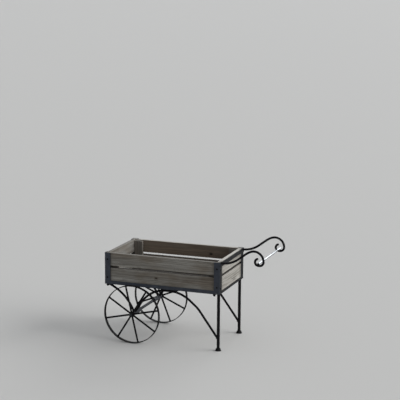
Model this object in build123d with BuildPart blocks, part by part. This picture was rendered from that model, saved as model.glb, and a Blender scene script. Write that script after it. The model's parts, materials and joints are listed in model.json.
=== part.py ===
from build123d import *

import os
from math import acos, atan2, cos, hypot, radians, sin, sqrt

# Garden cart: a planked wooden box in a black iron frame, on two spoked wheels and two legs,
# with scrolled handle bars and a grip tube between them.
# Millimetres, +Z up, +X towards the handles, -Y the pusher's left.
# The origin is on the ground, under the middle of the whole cart.

# Box frame of angle iron
BOX_LENGTH = 600.0
BOX_WIDTH = 360.0
BOX_BOTTOM = 284.0
BOX_TOP = 441.0
IRON_THICKNESS = 3.0
RAIL_SHELF = 25.0
SIDE_RAIL_HEIGHT = 17.0
END_RAIL_HEIGHT = 11.0
CORNER_LEG = 30.0
CORNER_ROUND = 2.0
BEARER_WIDTH = 25.0
STRAP_HEIGHT = 20.0
STRAP_BELOW_TOP = 1.0
STRAP_END_MARGIN = 1.0

# Boards
PLANK_THICKNESS = 18.0
UPPER_PLANK_HEIGHT = 65.0
PLANK_GAP = 10.0
PLANK_EDGE_ROUND = 1.5
FLOOR_THICKNESS = 8.0
FLOOR_SLATS = 5
FLOOR_SLAT_GAP = 6.0
SLAT_EDGE_ROUND = 1.0
POST_WIDTH = 45.0
POST_DEPTH = 18.0
POST_BELOW_TOP = 4.0

# Round bars, all in one upright plane on each side, inset from the box's side
BAR_INSET = 20.0
BRACE_DIAMETER = 11.0
LEG_DIAMETER = 15.0
LEG_INSET = 12.0
FOOT_HEIGHT = 12.0
FOOT_BASE_DIAMETER = 30.0
FOOT_TOP_DIAMETER = 22.0
FOOT_EDGE_ROUND = 1.0
ARCH_BELOW_RAIL = 5.5
ARCH_LEVEL_OFFSET = 18.0
ARCH_LEVEL_LENGTH = 16.0
ARCH_RADIUS = 156.0
ARCH_SHOULDER_RADIUS = 170.0
ARCH_SHOULDER_TURN = 40.0
ARCH_RUN = 52.0
ARCH_KNEE_RADIUS = 160.0
ARCH_LEG_JOINT_HEIGHT = 56.0
LUG_SPACING = 60.0
LUG_LENGTH = 14.0
LUG_WIDTH = 8.0
FRONT_BRACE_INSET = 5.0
FRONT_BRACE_BOW = 22.0

# Wheels and axle
WHEEL_DIAMETER = 290.0
RIM_WIDTH = 18.0
RIM_THICKNESS = 3.5
RIM_EDGE_ROUND = 0.6
WHEEL_TO_BOX = 3.0
AXLE_OFFSET = 151.0
AXLE_DIAMETER = 14.0
STUD_DIAMETER = 8.0
STUD_LENGTH = 8.5
BOSS_DIAMETER = 22.0
BOSS_LENGTH = 90.0
HUB_DIAMETER = 24.0
HUB_LENGTH = 22.0
HUB_CHAMFER = 1.0
SPOKES = 8
SPOKE_DIAMETER = 9.0
SPOKE_TURN = {"left": 13.0, "right": 21.5}
WASHER_DIAMETER = 20.0
WASHER_THICKNESS = 1.5
CAP_NUT_FLATS = 13.0
CAP_NUT_HEX_HEIGHT = 6.0
CAP_NUT_DOME_RADIUS = 5.5

# Scrolled handle bars and the grip between them
HANDLE_DIAMETER = 11.0
HANDLE_SPLAY = 3.0
HANDLE_LEAD = 3.0
HANDLE_SWEEP_RADIUS = 132.0
HANDLE_RISE = 37.0
HANDLE_STRAIGHT = 47.0
HANDLE_SHOULDER_RADIUS = 110.0
HANDLE_SHOULDER_TURN = 16.0
SCROLL_RADIUS = 47.0
SCROLL_TURN_IN_RADIUS = 20.0
SCROLL_SEAT = 6.0
SCROLL_END_RADIUS = 16.5
SCROLL_END_TURN = 160.0
GRIP_DIAMETER = 11.0
GRIP_WALL = 1.2
GRIP_OVERHANG = 4.0
PLUG_HEAD = 1.5
PLUG_SPIGOT = 12.0

# Fasteners
SCREW_HEAD_DIAMETER = 8.0
SCREW_CROWN_DIAMETER = 5.0
SCREW_HEAD_HEIGHT = 2.4
SCREW_SHANK_DIAMETER = 4.0
SCREW_DEPTH = 12.0
UPPER_SCREW_DROP = 32.0
LOWER_SCREW_RISE = 34.0
END_SCREW_DROP = 6.0
BOLT_DIAMETER = 6.0
BOLT_INTO_PLANK = 10.0
BOLT_EDGE_DISTANCE = 7.5
BOLT_INSET = {"wheel_end": 13.0, "handle_end": 30.0}
DOME_NUT_FLATS = 13.0
DOME_NUT_HEX_HEIGHT = 7.0
DOME_NUT_DOME_RADIUS = 5.5

# Clearances
RUNNING_FIT = 0.05
SCREW_FIT = 0.05
HUB_END_PLAY = 0.2
SEAT_GAP = 0.05
HOLE_END_GAP = 0.5

SIDES = {"left": -1, "right": 1}
ENDS = {"wheel_end": -1, "handle_end": 1}
STANDING = (Align.CENTER, Align.CENTER, Align.MIN)
SUNK = (Align.CENTER, Align.CENTER, Align.MAX)

# Places along the cart
rise_angle = radians(HANDLE_RISE)
scroll_angle = radians(HANDLE_RISE - HANDLE_SHOULDER_TURN)
scroll_run = (
    HANDLE_LEAD
    + HANDLE_SWEEP_RADIUS * sin(rise_angle)
    + HANDLE_STRAIGHT * cos(rise_angle)
    + HANDLE_SHOULDER_RADIUS * (sin(rise_angle) - sin(scroll_angle))
    + SCROLL_RADIUS * (1 + sin(scroll_angle))
)
handle_lift = (
    HANDLE_SWEEP_RADIUS * (1 - cos(rise_angle))
    + HANDLE_STRAIGHT * sin(rise_angle)
    + HANDLE_SHOULDER_RADIUS * (cos(scroll_angle) - cos(rise_angle))
    + SCROLL_RADIUS * (1 - cos(scroll_angle))
)
seat_run = scroll_run - SCROLL_TURN_IN_RADIUS - SCROLL_SEAT / 2
splay_along = cos(radians(HANDLE_SPLAY))
splay_across = sin(radians(HANDLE_SPLAY))
handle_reach = IRON_THICKNESS + scroll_run * splay_along + HANDLE_DIAMETER / 2
box_x = (SCREW_HEAD_HEIGHT - handle_reach) / 2
axle_x = box_x - AXLE_OFFSET
leg_x = box_x + BOX_LENGTH / 2 - LEG_INSET
arch_level_x = box_x + ARCH_LEVEL_OFFSET
arch_middle_x = arch_level_x + ARCH_LEVEL_LENGTH / 2
strap_x = box_x + BOX_LENGTH / 2
weld_x = strap_x + IRON_THICKNESS

# Places across the cart
half_width = BOX_WIDTH / 2
bar_y = half_width - BAR_INSET
wood_half_width = half_width - IRON_THICKNESS
wood_half_length = BOX_LENGTH / 2 - IRON_THICKNESS
side_plank_y = wood_half_width - PLANK_THICKNESS / 2
end_plank_offset = wood_half_length - PLANK_THICKNESS / 2
shelf_inner_y = half_width - RAIL_SHELF
wheel_plane = half_width + WHEEL_TO_BOX + RIM_WIDTH / 2
hub_inner_y = wheel_plane - HUB_LENGTH / 2
hub_outer_y = wheel_plane + HUB_LENGTH / 2
inner_washer_y = hub_inner_y - HUB_END_PLAY - WASHER_THICKNESS
axle_shoulder_y = hub_outer_y + HUB_END_PLAY
cap_nut_y = axle_shoulder_y + WASHER_THICKNESS
bolt_y = half_width - BOLT_EDGE_DISTANCE

# Heights
shelf_top = BOX_BOTTOM + IRON_THICKNESS
floor_top = shelf_top + FLOOR_THICKNESS
gap_top = BOX_TOP - UPPER_PLANK_HEIGHT
gap_bottom = gap_top - PLANK_GAP
axle_z = WHEEL_DIAMETER / 2
strap_top = BOX_TOP - STRAP_BELOW_TOP
handle_z = BOX_TOP - HANDLE_DIAMETER / 2
bolt_depth = IRON_THICKNESS + FLOOR_THICKNESS + BOLT_INTO_PLANK
upper_screw_z = BOX_TOP - UPPER_SCREW_DROP
lower_screw_z = BOX_BOTTOM + LOWER_SCREW_RISE
grip_seat_z = handle_z + handle_lift - SCROLL_RADIUS - SCROLL_TURN_IN_RADIUS
grip_x = weld_x + seat_run * splay_along
grip_z = grip_seat_z + HANDLE_DIAMETER / 2 + SEAT_GAP + GRIP_DIAMETER / 2
grip_half_length = bar_y + seat_run * splay_across + HANDLE_DIAMETER / 2 + GRIP_OVERHANG

os.makedirs("parts", exist_ok=True)


def save(piece, name):
    """Label a finished piece and write it as a STEP file of the same name."""
    piece.part.label = name
    export_step(piece.part, f"parts/{name}.step")


def bar_plane(side):
    """The upright plane of a side's bars: local x along the cart, local y up."""
    return Plane.XZ.offset(-SIDES[side] * bar_y)


def axle_plane(distance, side):
    """A plane across the axle, this far from the middle of the cart, facing outwards."""
    across = SIDES[side]
    return Plane(origin=(axle_x, across * distance, axle_z), x_dir=(1, 0, 0), z_dir=(0, across, 0))


def handle_plane(side):
    """The upright plane of a handle bar, splayed outwards from its weld on the strap."""
    across = SIDES[side]
    weld = (weld_x, across * bar_y, handle_z)
    along_bar = (splay_along, across * splay_across, 0)
    return Plane(origin=weld, x_dir=along_bar, z_dir=(across * splay_across, -splay_along, 0))


def tangent_point(centre, radius, point):
    """Where a line rising from a point on the left touches the top of a circle."""
    dx = point[0] - centre[0]
    dy = point[1] - centre[1]
    angle = atan2(dy, dx) - acos(radius / hypot(dx, dy))
    return (centre[0] + radius * cos(angle), centre[1] + radius * sin(angle))


def corner_screw_seats(side, end):
    """Seats of a corner's four screws on the iron's outer faces, facing outwards."""
    across = SIDES[side]
    along = ENDS[end]
    side_x = box_x + along * (BOX_LENGTH / 2 - CORNER_LEG / 2)
    end_x = box_x + along * BOX_LENGTH / 2
    seats = []
    for z in (upper_screw_z, lower_screw_z):
        seats.append(Plane(origin=(side_x, across * half_width, z), z_dir=(0, across, 0)))
        end_origin = (end_x, across * side_plank_y, z - END_SCREW_DROP)
        seats.append(Plane(origin=end_origin, z_dir=(along, 0, 0)))
    return seats


def side_screw_seats(side):
    """Seats of all the corner screws on one side of the cart."""
    return [seat for end in ENDS for seat in corner_screw_seats(side, end)]


def bolt_seats(side):
    """Seats of a side rail's two bolts on its underside, facing down."""
    seats = []
    for end, along in ENDS.items():
        bolt_x = box_x + along * (BOX_LENGTH / 2 - BOLT_INSET[end])
        seats.append(Plane(origin=(bolt_x, SIDES[side] * bolt_y, BOX_BOTTOM), z_dir=(0, 0, -1)))
    return seats


# Planks of the box walls: two on each side and two on each end
plank_rows = {"lower": (floor_top, gap_bottom), "upper": (gap_top, BOX_TOP)}
for row, (bottom, top) in plank_rows.items():
    for side, across in SIDES.items():
        with BuildPart() as side_plank:
            with BuildSketch(Plane.XY.offset(bottom)):
                with Locations((box_x, across * side_plank_y)):
                    Rectangle(2 * wood_half_length, PLANK_THICKNESS)
            extrude(amount=top - bottom)
            fillet(side_plank.edges().filter_by(Axis.X), PLANK_EDGE_ROUND)
            with Locations(*side_screw_seats(side)):
                Hole(SCREW_SHANK_DIAMETER / 2 + SCREW_FIT, depth=SCREW_DEPTH + HOLE_END_GAP)
            with Locations(*bolt_seats(side)):
                Hole(BOLT_DIAMETER / 2 + SCREW_FIT, depth=bolt_depth + HOLE_END_GAP)
        save(side_plank, f"{side}_{row}_plank")
    for end, along in ENDS.items():
        with BuildPart() as end_plank:
            with BuildSketch(Plane.XY.offset(bottom)):
                with Locations((box_x + along * end_plank_offset, 0)):
                    Rectangle(PLANK_THICKNESS, 2 * (wood_half_width - PLANK_THICKNESS))
            extrude(amount=top - bottom)
            fillet(end_plank.edges().filter_by(Axis.Y), PLANK_EDGE_ROUND)
        save(end_plank, f"{end}_{row}_plank")

# Flat posts in the inner corners, against the long sides
post_offset = wood_half_length - PLANK_THICKNESS - POST_WIDTH / 2
post_y = wood_half_width - PLANK_THICKNESS - POST_DEPTH / 2
for side, across in SIDES.items():
    for end, along in ENDS.items():
        with BuildPart() as post:
            with BuildSketch(Plane.XY.offset(floor_top)):
                with Locations((box_x + along * post_offset, across * post_y)):
                    Rectangle(POST_WIDTH, POST_DEPTH)
            extrude(amount=BOX_TOP - POST_BELOW_TOP - floor_top)
            fillet(post.edges().filter_by(Axis.Z), PLANK_EDGE_ROUND)
        save(post, f"{side}_{end}_post")

# Floor slats along the box, lying on the rails' shelves under the wall planks
slat_pitch = (2 * wood_half_width + FLOOR_SLAT_GAP) / FLOOR_SLATS
slat_width = slat_pitch - FLOOR_SLAT_GAP
for number in range(FLOOR_SLATS):
    slat_y = (number - (FLOOR_SLATS - 1) / 2) * slat_pitch
    with BuildPart() as floor_slat:
        with BuildSketch(Plane.XY.offset(shelf_top)):
            with Locations((box_x, slat_y)):
                Rectangle(2 * wood_half_length, slat_width)
        extrude(amount=FLOOR_THICKNESS)
        fillet(floor_slat.edges().filter_by(Axis.X), SLAT_EDGE_ROUND)
        with Locations(*bolt_seats("left"), *bolt_seats("right")):
            Hole(BOLT_DIAMETER / 2 + SCREW_FIT, depth=bolt_depth + HOLE_END_GAP)
    save(floor_slat, f"floor_slat_{number + 1}")

# Angle iron rails under the long sides: a shelf inwards and a lip up the outside
for side, across in SIDES.items():
    with BuildPart() as side_rail:
        with BuildSketch(Plane.XY.offset(BOX_BOTTOM)):
            with Locations((box_x, across * (half_width - RAIL_SHELF / 2))):
                Rectangle(BOX_LENGTH, RAIL_SHELF)
        extrude(amount=IRON_THICKNESS)
        with BuildSketch(Plane.XY.offset(shelf_top)):
            with Locations((box_x, across * (half_width - IRON_THICKNESS / 2))):
                Rectangle(BOX_LENGTH - 2 * CORNER_LEG, IRON_THICKNESS)
        extrude(amount=SIDE_RAIL_HEIGHT - IRON_THICKNESS)
        with Locations(*bolt_seats(side)):
            Hole(BOLT_DIAMETER / 2 + SCREW_FIT, depth=bolt_depth)
    save(side_rail, f"{side}_side_rail")

# Angle iron rails under the ends, between the side rails
for end, along in ENDS.items():
    with BuildPart() as end_rail:
        with BuildSketch(Plane.XY.offset(BOX_BOTTOM)):
            with Locations((box_x + along * (BOX_LENGTH / 2 - RAIL_SHELF / 2), 0)):
                Rectangle(RAIL_SHELF, 2 * shelf_inner_y)
        extrude(amount=IRON_THICKNESS)
        with BuildSketch(Plane.XY.offset(shelf_top)):
            with Locations((box_x + along * (BOX_LENGTH / 2 - IRON_THICKNESS / 2), 0)):
                Rectangle(IRON_THICKNESS, BOX_WIDTH - 2 * CORNER_LEG)
        extrude(amount=END_RAIL_HEIGHT - IRON_THICKNESS)
    save(end_rail, f"{end}_rail")

# Flat bar across the frame that carries the middle of the floor
with BuildPart() as floor_bearer:
    with BuildSketch(Plane.XY.offset(BOX_BOTTOM)):
        with Locations((arch_middle_x, 0)):
            Rectangle(BEARER_WIDTH, 2 * shelf_inner_y)
    extrude(amount=IRON_THICKNESS)
save(floor_bearer, "floor_bearer")

# Corner angles, standing on the side rails' shelves outside the planks
for side, across in SIDES.items():
    for end, along in ENDS.items():
        corner_x = box_x + along * BOX_LENGTH / 2
        corner_y = across * half_width
        leg_middle = CORNER_LEG / 2
        iron_middle = IRON_THICKNESS / 2
        with BuildPart() as corner_angle:
            with BuildSketch(Plane.XY.offset(shelf_top)):
                with Locations((corner_x - along * leg_middle, corner_y - across * iron_middle)):
                    Rectangle(CORNER_LEG, IRON_THICKNESS)
                with Locations((corner_x - along * iron_middle, corner_y - across * leg_middle)):
                    Rectangle(IRON_THICKNESS, CORNER_LEG)
            extrude(amount=BOX_TOP - shelf_top)
            upright_edges = corner_angle.edges().filter_by(Axis.Z)
            fillet(upright_edges.sort_by_distance((corner_x, corner_y, BOX_TOP))[0], CORNER_ROUND)
            with Locations(*corner_screw_seats(side, end)):
                Hole(SCREW_SHANK_DIAMETER / 2 + SCREW_FIT, depth=IRON_THICKNESS)
        save(corner_angle, f"{side}_{end}_corner_angle")

# Flat strap across the handle end, outside the corner angles
with BuildPart() as handle_strap:
    with BuildSketch(Plane.XY.offset(strap_top - STRAP_HEIGHT)):
        with Locations((strap_x + IRON_THICKNESS / 2, 0)):
            Rectangle(IRON_THICKNESS, BOX_WIDTH - 2 * STRAP_END_MARGIN)
    extrude(amount=STRAP_HEIGHT)
save(handle_strap, "handle_strap")

# Legs under the handle end, and their flared feet
for side, across in SIDES.items():
    with BuildPart() as leg:
        with BuildSketch(Plane.XY.offset(FOOT_HEIGHT)):
            with Locations((leg_x, across * bar_y)):
                Circle(LEG_DIAMETER / 2)
        extrude(amount=BOX_BOTTOM - FOOT_HEIGHT)
    save(leg, f"{side}_leg")

    with BuildPart() as foot:
        with Locations((leg_x, across * bar_y, 0)):
            Cone(FOOT_BASE_DIAMETER / 2, FOOT_TOP_DIAMETER / 2, FOOT_HEIGHT, align=STANDING)
        fillet(foot.edges().filter_by(GeomType.CIRCLE).sort_by(Axis.Z)[-1], FOOT_EDGE_ROUND)
    save(foot, f"{side}_foot")

# Braces of bent round bar: an arch from the axle boss up under the rail and down to the leg,
# two lugs between its crown and the rail, and a bowed front brace from the rail's wheel end down to the boss
arch_top_z = BOX_BOTTOM - ARCH_BELOW_RAIL - BRACE_DIAMETER / 2
level_start = (arch_level_x, arch_top_z)
level_end = (arch_level_x + ARCH_LEVEL_LENGTH, arch_top_z)
arch_centre = (arch_level_x, arch_top_z - ARCH_RADIUS)
boss_centre = (axle_x, axle_z)
leg_joint = (leg_x, ARCH_LEG_JOINT_HEIGHT)
wheel_tangent = tangent_point(arch_centre, ARCH_RADIUS, boss_centre)
front_brace_top = (box_x - BOX_LENGTH / 2 + FRONT_BRACE_INSET, BOX_BOTTOM)

for side, across in SIDES.items():
    with BuildPart() as arch_brace:
        with BuildLine(bar_plane(side)) as arch_line:
            riser = Line(boss_centre, wheel_tangent)
            TangentArc(riser @ 1, level_start, tangent=riser % 1)
            level = Line(level_start, level_end)
            shoulder = JernArc(level @ 1, level % 1, ARCH_SHOULDER_RADIUS, -ARCH_SHOULDER_TURN)
            knee = (shoulder @ 1) + (shoulder % 1) * ARCH_RUN
            FilletPolyline(shoulder @ 1, knee, leg_joint, radius=ARCH_KNEE_RADIUS)
        with BuildSketch(Plane(origin=arch_line.line @ 0, z_dir=arch_line.line % 0)):
            Circle(BRACE_DIAMETER / 2)
        sweep(path=arch_line.line)
        with BuildSketch(axle_plane(0, side)):
            Circle(BOSS_DIAMETER / 2 + SEAT_GAP)
        extrude(amount=half_width, mode=Mode.SUBTRACT)
        with BuildSketch(Plane.XY):
            with Locations((leg_x, across * bar_y)):
                Circle(LEG_DIAMETER / 2 + SEAT_GAP)
        extrude(amount=BOX_BOTTOM, mode=Mode.SUBTRACT)
    save(arch_brace, f"{side}_arch_brace")

    with BuildPart() as arch_lugs:
        with BuildSketch(Plane.XY.offset(arch_top_z)):
            with Locations((arch_middle_x, across * bar_y)):
                with GridLocations(LUG_SPACING, 0, 2, 1):
                    Rectangle(LUG_LENGTH, LUG_WIDTH)
        extrude(amount=BOX_BOTTOM - SEAT_GAP - arch_top_z)
        with BuildSketch(Plane(origin=arch_line.line @ 0, z_dir=arch_line.line % 0)):
            Circle(BRACE_DIAMETER / 2 + SEAT_GAP)
        sweep(path=arch_line.line, mode=Mode.SUBTRACT)
    save(arch_lugs, f"{side}_arch_lugs")

    with BuildPart() as front_brace:
        with BuildLine(bar_plane(side)) as front_line:
            SagittaArc(front_brace_top, boss_centre, FRONT_BRACE_BOW)
        with BuildSketch(Plane(origin=front_line.line @ 0, z_dir=front_line.line % 0)):
            Circle(BRACE_DIAMETER / 2)
        sweep(path=front_line.line)
        with BuildSketch(Plane.XY.offset(BOX_BOTTOM)):
            with Locations((box_x, across * bar_y)):
                Rectangle(BOX_LENGTH, RAIL_SHELF)
        extrude(amount=BRACE_DIAMETER, mode=Mode.SUBTRACT)
        with BuildSketch(axle_plane(0, side)):
            Circle(BOSS_DIAMETER / 2 + SEAT_GAP)
        extrude(amount=half_width, mode=Mode.SUBTRACT)
    save(front_brace, f"{side}_front_brace")

# Axle bosses: short tubes that the braces are welded to and the axle passes through
for side in SIDES:
    with BuildPart() as axle_boss:
        with BuildSketch(axle_plane(inner_washer_y - BOSS_LENGTH, side)):
            Circle(BOSS_DIAMETER / 2)
            Circle(AXLE_DIAMETER / 2 + SEAT_GAP, mode=Mode.SUBTRACT)
        extrude(amount=BOSS_LENGTH)
    save(axle_boss, f"{side}_axle_boss")

# Axle: a bar with a shoulder and a threaded stud at each end
with BuildPart() as axle:
    with BuildSketch(axle_plane(-axle_shoulder_y, "right")):
        Circle(AXLE_DIAMETER / 2)
    extrude(amount=2 * axle_shoulder_y)
    with BuildSketch(*[axle_plane(axle_shoulder_y, side) for side in SIDES]):
        Circle(STUD_DIAMETER / 2)
    extrude(amount=STUD_LENGTH)
save(axle, "axle")

# Washers inside and outside each hub, and domed cap nuts on the studs
with BuildPart() as inner_washers:
    with BuildSketch(*[axle_plane(inner_washer_y, side) for side in SIDES]):
        Circle(WASHER_DIAMETER / 2)
        Circle(AXLE_DIAMETER / 2 + SEAT_GAP, mode=Mode.SUBTRACT)
    extrude(amount=WASHER_THICKNESS)
save(inner_washers, "inner_washers")

with BuildPart() as outer_washers:
    with BuildSketch(*[axle_plane(axle_shoulder_y, side) for side in SIDES]):
        Circle(WASHER_DIAMETER / 2)
        Circle(STUD_DIAMETER / 2 + SEAT_GAP, mode=Mode.SUBTRACT)
    extrude(amount=WASHER_THICKNESS)
save(outer_washers, "outer_washers")

with BuildPart() as axle_cap_nuts:
    with BuildSketch(*[axle_plane(cap_nut_y, side) for side in SIDES]):
        RegularPolygon(CAP_NUT_FLATS / 2, 6, major_radius=False)
    extrude(amount=CAP_NUT_HEX_HEIGHT)
    with Locations(*[axle_plane(cap_nut_y + CAP_NUT_HEX_HEIGHT, side) for side in SIDES]):
        Sphere(CAP_NUT_DOME_RADIUS, arc_size1=0, align=STANDING)
    with BuildSketch(*[axle_plane(cap_nut_y, side) for side in SIDES]):
        Circle(STUD_DIAMETER / 2 + SEAT_GAP)
    extrude(amount=STUD_LENGTH - WASHER_THICKNESS + HOLE_END_GAP, mode=Mode.SUBTRACT)
save(axle_cap_nuts, "axle_cap_nuts")

# Wheels: a flat rim, a hub tube and round spokes between them
rim_inner_radius = WHEEL_DIAMETER / 2 - RIM_THICKNESS
spoke_end_radius = sqrt(rim_inner_radius**2 - (SPOKE_DIAMETER / 2) ** 2) - SEAT_GAP
for side, across in SIDES.items():
    with BuildPart() as wheel_rim:
        with BuildSketch(axle_plane(wheel_plane - RIM_WIDTH / 2, side)):
            Circle(WHEEL_DIAMETER / 2)
            Circle(rim_inner_radius, mode=Mode.SUBTRACT)
        extrude(amount=RIM_WIDTH)
        fillet(wheel_rim.edges().filter_by(GeomType.CIRCLE), RIM_EDGE_ROUND)
    save(wheel_rim, f"{side}_wheel_rim")

    with BuildPart() as wheel_hub:
        with BuildSketch(axle_plane(hub_inner_y, side)):
            Circle(HUB_DIAMETER / 2)
        extrude(amount=HUB_LENGTH)
        chamfer(wheel_hub.edges().filter_by(GeomType.CIRCLE), HUB_CHAMFER)
        with Locations(axle_plane(hub_outer_y, side)):
            Hole(AXLE_DIAMETER / 2 + RUNNING_FIT, depth=HUB_LENGTH)
    save(wheel_hub, f"{side}_wheel_hub")

    with BuildPart() as wheel_spokes:
        for number in range(SPOKES):
            angle = radians(SPOKE_TURN[side] + 360 * number / SPOKES)
            outwards = Vector(cos(angle), 0, sin(angle))
            wheel_centre = Vector(axle_x, across * wheel_plane, axle_z)
            with BuildSketch(Plane(origin=wheel_centre + outwards * AXLE_DIAMETER / 2, z_dir=outwards)):
                Circle(SPOKE_DIAMETER / 2)
            extrude(amount=spoke_end_radius - AXLE_DIAMETER / 2)
        with BuildSketch(axle_plane(hub_inner_y, side)):
            Circle(HUB_DIAMETER / 2 + SEAT_GAP)
        extrude(amount=HUB_LENGTH, mode=Mode.SUBTRACT)
    save(wheel_spokes, f"{side}_wheel_spokes")

# Handle bars: cut square at the strap, sweeping up and over into a scroll that seats the grip
for side in SIDES:
    with BuildPart() as handle:
        with BuildLine(handle_plane(side)) as handle_line:
            lead = Line((-HANDLE_DIAMETER, 0), (HANDLE_LEAD, 0))
            rise = JernArc(lead @ 1, lead % 1, HANDLE_SWEEP_RADIUS, HANDLE_RISE)
            straight = Line(rise @ 1, (rise @ 1) + (rise % 1) * HANDLE_STRAIGHT)
            shoulder = JernArc(straight @ 1, straight % 1, HANDLE_SHOULDER_RADIUS, -HANDLE_SHOULDER_TURN)
            scroll_turn = 90 + HANDLE_RISE - HANDLE_SHOULDER_TURN
            scroll = JernArc(shoulder @ 1, shoulder % 1, SCROLL_RADIUS, -scroll_turn)
            turn_in = JernArc(scroll @ 1, scroll % 1, SCROLL_TURN_IN_RADIUS, -90)
            seat = Line(turn_in @ 1, (turn_in @ 1) + (turn_in % 1) * SCROLL_SEAT)
            JernArc(seat @ 1, seat % 1, SCROLL_END_RADIUS, -SCROLL_END_TURN)
        with BuildSketch(Plane(origin=handle_line.line @ 0, z_dir=handle_line.line % 0)):
            Circle(HANDLE_DIAMETER / 2)
        sweep(path=handle_line.line)
        split(bisect_by=Plane.YZ.offset(weld_x), keep=Keep.TOP)
        with Locations(handle_line.line @ 1):
            Sphere(HANDLE_DIAMETER / 2)
    save(handle, f"{side}_handle")

# Grip tube lying in the two scrolls, with a plug in each end
with BuildPart() as grip_tube:
    with BuildSketch(Plane(origin=(grip_x, -grip_half_length, grip_z), z_dir=(0, 1, 0))):
        Circle(GRIP_DIAMETER / 2)
        Circle(GRIP_DIAMETER / 2 - GRIP_WALL, mode=Mode.SUBTRACT)
    extrude(amount=2 * grip_half_length)
save(grip_tube, "grip_tube")

for side, across in SIDES.items():
    tube_end = Plane(origin=(grip_x, across * grip_half_length, grip_z), z_dir=(0, across, 0))
    with BuildPart() as grip_plug:
        with BuildSketch(tube_end):
            Circle(GRIP_DIAMETER / 2)
        extrude(amount=PLUG_HEAD)
        with BuildSketch(tube_end):
            Circle(GRIP_DIAMETER / 2 - GRIP_WALL - SEAT_GAP)
        extrude(amount=-PLUG_SPIGOT)
    save(grip_plug, f"{side}_grip_plug")

# Wood screws through the corner angles into the side planks
with BuildPart() as corner_screws:
    with Locations(*side_screw_seats("left"), *side_screw_seats("right")):
        Cone(SCREW_HEAD_DIAMETER / 2, SCREW_CROWN_DIAMETER / 2, SCREW_HEAD_HEIGHT, align=STANDING)
        Cylinder(SCREW_SHANK_DIAMETER / 2, SCREW_DEPTH, align=SUNK)
save(corner_screws, "corner_screws")

# Bolts up through the side rails and the floor into the lower planks, and their dome nuts
all_bolt_seats = [*bolt_seats("left"), *bolt_seats("right")]
nut_bore_depth = DOME_NUT_HEX_HEIGHT + DOME_NUT_DOME_RADIUS / 2
with BuildPart() as frame_bolts:
    with BuildSketch(*[seat.offset(-bolt_depth) for seat in all_bolt_seats]):
        Circle(BOLT_DIAMETER / 2)
    extrude(amount=bolt_depth + nut_bore_depth - HOLE_END_GAP)
save(frame_bolts, "frame_bolts")

with BuildPart() as frame_dome_nuts:
    with BuildSketch(*all_bolt_seats):
        RegularPolygon(DOME_NUT_FLATS / 2, 6, major_radius=False)
    extrude(amount=DOME_NUT_HEX_HEIGHT)
    with Locations(*[seat.offset(DOME_NUT_HEX_HEIGHT) for seat in all_bolt_seats]):
        Sphere(DOME_NUT_DOME_RADIUS, arc_size1=0, align=STANDING)
    with BuildSketch(*all_bolt_seats):
        Circle(BOLT_DIAMETER / 2 + SEAT_GAP)
    extrude(amount=nut_bore_depth, mode=Mode.SUBTRACT)
save(frame_dome_nuts, "frame_dome_nuts")
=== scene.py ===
import json
from math import atan2, cos, pi, radians, sin
from random import Random

import bpy
from mathutils import Matrix, Vector


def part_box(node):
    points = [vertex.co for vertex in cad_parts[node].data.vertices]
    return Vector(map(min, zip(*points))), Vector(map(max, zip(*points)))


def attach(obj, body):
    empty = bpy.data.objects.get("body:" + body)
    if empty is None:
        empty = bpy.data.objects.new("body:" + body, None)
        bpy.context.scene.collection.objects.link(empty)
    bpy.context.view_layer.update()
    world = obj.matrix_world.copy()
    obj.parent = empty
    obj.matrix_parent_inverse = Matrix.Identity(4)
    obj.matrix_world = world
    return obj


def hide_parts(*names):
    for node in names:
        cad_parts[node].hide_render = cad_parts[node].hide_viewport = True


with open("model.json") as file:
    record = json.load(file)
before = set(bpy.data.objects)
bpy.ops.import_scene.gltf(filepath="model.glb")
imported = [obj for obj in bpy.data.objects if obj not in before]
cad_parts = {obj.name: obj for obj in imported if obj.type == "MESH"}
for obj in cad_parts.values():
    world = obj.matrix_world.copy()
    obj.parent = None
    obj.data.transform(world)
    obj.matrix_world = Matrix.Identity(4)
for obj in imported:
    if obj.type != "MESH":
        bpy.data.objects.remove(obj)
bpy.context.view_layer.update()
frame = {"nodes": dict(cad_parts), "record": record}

# Garden cart: weathered plank box, black iron frame, spoked wheels, scrolled handles and a steel grip.
# Metres, +Z up, +X towards the handles, -Y the pusher's left.

MM = 0.001

# Camera, as the photograph was taken: a 400 pixel square frame
CAMERA_TARGET = Vector((0.0227, 0.0, 0.7023))
CAMERA_AZIMUTH = radians(20.063)
CAMERA_ELEVATION = radians(10.610)
CAMERA_ROLL = radians(0.394)
CAMERA_DISTANCE = 6.1777
FOCAL_PIXELS = 1263.1
FRAME_PIXELS = 400
SENSOR_WIDTH = 36.0
CLIP_END = 400.0

# Light: a wide soft key from the handle end, a weaker one from behind, and an even fill all round
KEY_TOWARDS = Vector((0.93, 0.16, 0.28))
KEY_STRENGTH = 3.8
KEY_ANGLE = radians(64)
BACK_TOWARDS = Vector((0.19, 0.92, 0.36))
BACK_STRENGTH = 0.9
BACK_ANGLE = radians(40)
FILL_STRENGTH = 0.38
BACKDROP_STRENGTH = 0.9
FLOOR_REACH = 150.0

# Boards
BOARD_EDGE_ZONE = 3.0 * MM
BOARD_EDGE_CELLS = 4
BOARD_EDGE_ROUND = 1.7 * MM
BOARD_CELL_ALONG = 6.0 * MM
BOARD_CELL_ACROSS = 1.1 * MM
BOARD_CELL_THROUGH = 1.6 * MM
BOARD_FEWEST_CELLS = 6
FLOOR_SLATS = 5
LOG_SEED = 7
PITH_NEAR = 34.0
PITH_FAR = 78.0
PITH_SIDEWAYS = 46.0
LOG_STRETCH = 6000.0

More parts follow.
